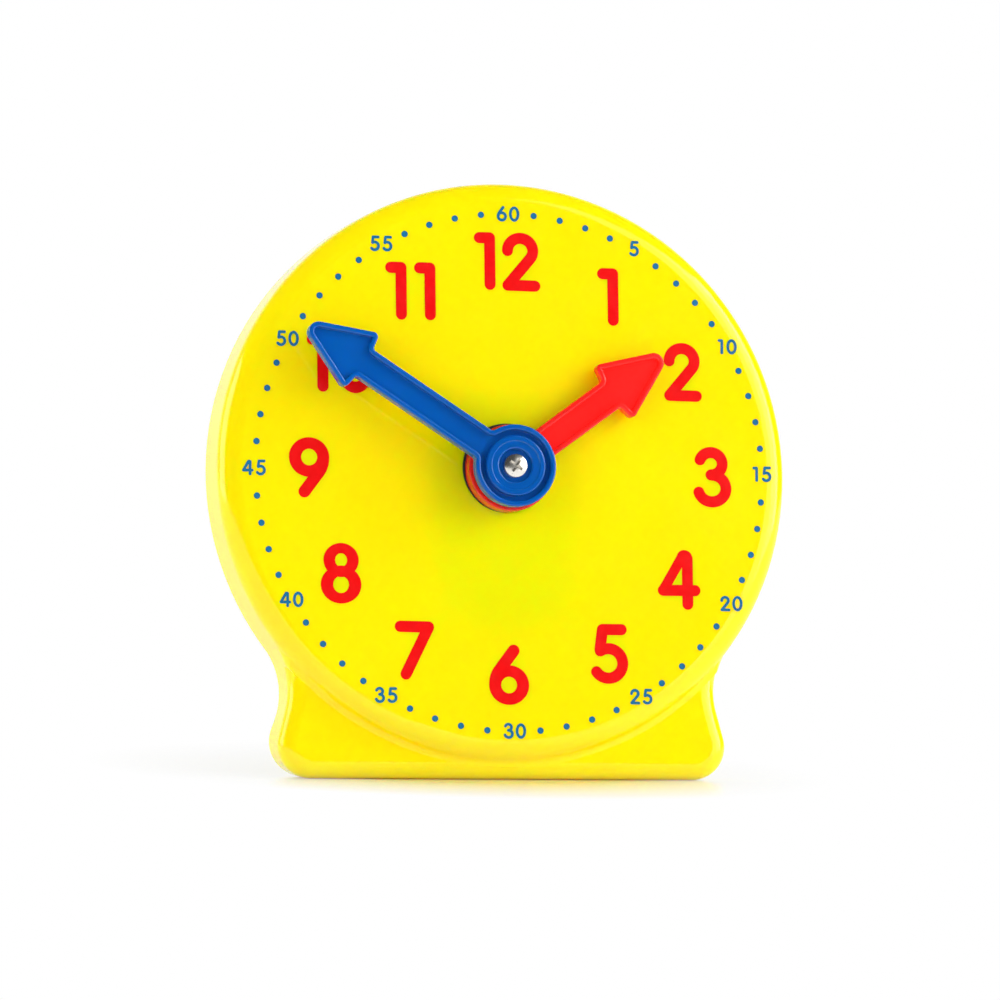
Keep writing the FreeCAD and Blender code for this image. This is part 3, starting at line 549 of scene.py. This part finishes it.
def build_camera():
    swing = radians(CAMERA_SWING)
    down = radians(CAMERA_DOWN)
    forward = Vector((sin(swing) * cos(down), cos(swing) * cos(down), -sin(down)))
    level = forward.cross(Vector((0, 0, 1))).normalized()
    right = Matrix.Rotation(radians(-CAMERA_ROLL), 3, forward) @ level
    up = right.cross(forward)
    place = on_dial(AIM_X, AIM_Z) - MM * CAMERA_DISTANCE * forward
    data = bpy.data.cameras.new("camera")
    data.lens = LENS
    data.sensor_width = SENSOR
    camera = bpy.data.objects.new("camera", data)
    axes = Matrix((right, up, -forward)).transposed()
    camera.matrix_world = Matrix.Translation(place) @ axes.to_4x4()
    bpy.context.scene.collection.objects.link(camera)
    bpy.context.scene.camera = camera


def softbox(name, azimuth, elevation, distance, width, height, radiance):
    """A flat lamp facing the hub; its turns are in degrees and its sizes in metres."""
    around = radians(azimuth)
    up = radians(elevation)
    towards = Vector((sin(around) * cos(up), -cos(around) * cos(up), sin(up)))
    data = bpy.data.lights.new(name, "AREA")
    data.shape = "RECTANGLE"
    data.size = width
    data.size_y = height
    data.energy = radiance * pi * width * height
    lamp = bpy.data.objects.new(name, data)
    lamp.location = HUB + distance * towards
    lamp.rotation_euler = towards.to_track_quat("Z", "Y").to_euler()
    bpy.context.scene.collection.objects.link(lamp)
    return lamp


def build_lamps():
    for name, setting in LAMPS.items():
        lamp = softbox(name, *setting)
        if name == NEVER_MIRRORED:
            lamp.visible_glossy = False


def grey(level):
    return (level, level, level, 1)


def build_world():
    """White behind the clock, and a darker room in front of it for reflections."""
    world = bpy.data.worlds.new("studio")
    graph = Graph(world)
    graph.tree.nodes.clear()
    split = graph.node("ShaderNodeSeparateXYZ")
    graph.link(graph.node("ShaderNodeTexCoord").outputs["Generated"], split.inputs[0])

    def shade(front, back, start, end):
        """A background that goes from one level in front to another behind."""
        light = graph.node("ShaderNodeBackground", Color=grey(1))
        level = graph.between(split.outputs["Y"], front, back, start, end)
        graph.link(level, light.inputs["Strength"])
        return light.outputs[0]

    path = graph.node("ShaderNodeLightPath").outputs
    seen = graph.node("ShaderNodeBackground", Color=grey(1), Strength=1.0).outputs[0]
    final = graph.blend(path["Is Glossy Ray"], shade(*ROOM), shade(*MIRRORED_ROOM))
    for ray in ("Is Camera Ray", "Is Transmission Ray"):
        final = graph.blend(path[ray], final, seen)
    output = graph.node("ShaderNodeOutputWorld")
    graph.link(final, output.inputs["Surface"])
    bpy.context.scene.world = world


def way_out(graph):
    """0 on the floor near the clock, rising to 1 at the edge of the polished ellipse."""
    ellipse = graph.node(
        "ShaderNodeMapping",
        Location=(0, -POLISH_MIDDLE_Y_M / POLISH_REACH_Y_M, 0),
        Scale=(1 / POLISH_REACH_X_M, 1 / POLISH_REACH_Y_M, 1),
    )
    place = graph.node("ShaderNodeTexCoord").outputs["Object"]
    graph.link(place, ellipse.inputs["Vector"])
    reach = graph.node("ShaderNodeVectorMath")
    reach.operation = "LENGTH"
    graph.link(ellipse.outputs["Vector"], reach.inputs[0])
    return graph.between(reach.outputs["Value"], 0.0, 1.0, WHITE_FROM, 1.0)


def seen_directly(graph):
    """1 for rays from the camera, a mirror or glass, and 0 for light that spreads."""
    path = graph.node("ShaderNodeLightPath").outputs
    seen = path["Is Camera Ray"]
    for ray in ("Is Glossy Ray", "Is Transmission Ray"):
        larger = graph.node("ShaderNodeMath")
        larger.operation = "MAXIMUM"
        graph.link(seen, larger.inputs[0])
        graph.link(path[ray], larger.inputs[1])
        seen = larger.outputs[0]
    return seen


def floor_material():
    """Polished white that keeps the clock's shadow and mirrors its colour."""
    material = bpy.data.materials.new("floor")
    graph = Graph(material)
    graph.tree.nodes.clear()
    bounce = graph.node("ShaderNodeBsdfDiffuse", Color=grey(FLOOR_BOUNCE))
    matt = graph.node("ShaderNodeBsdfDiffuse", Color=grey(FLOOR_WHITE))
    sheen = graph.node("ShaderNodeBsdfGlossy", Color=grey(1), Roughness=FLOOR_ROUGHNESS)
    plain = graph.node("ShaderNodeEmission", Color=grey(1))
    edge = graph.node("ShaderNodeFresnel", IOR=FLOOR_IOR)
    polished = graph.blend(edge.outputs[0], matt.outputs[0], sheen.outputs[0])
    looked_at = graph.blend(way_out(graph), polished, plain.outputs[0])
    final = graph.blend(seen_directly(graph), bounce.outputs[0], looked_at)
    output = graph.node("ShaderNodeOutputMaterial")
    graph.link(final, output.inputs["Surface"])
    return material


def build_floor():
    half = FLOOR_HALF_M
    mesh = bpy.data.meshes.new("floor")
    mesh.from_pydata(
        [(-half, -half, 0), (half, -half, 0), (half, half, 0), (-half, half, 0)],
        [], [(0, 1, 2, 3)],
    )
    mesh.materials.append(floor_material())
    floor = bpy.data.objects.new("floor", mesh)
    bpy.context.scene.collection.objects.link(floor)


dress_nodes()
print_numerals(print_ink("red_ink", RED_INK))
print_minutes(print_ink("blue_ink", BLUE_INK))
build_camera()
build_world()
build_lamps()
build_floor()
bpy.context.scene.view_settings.view_transform = "Standard"
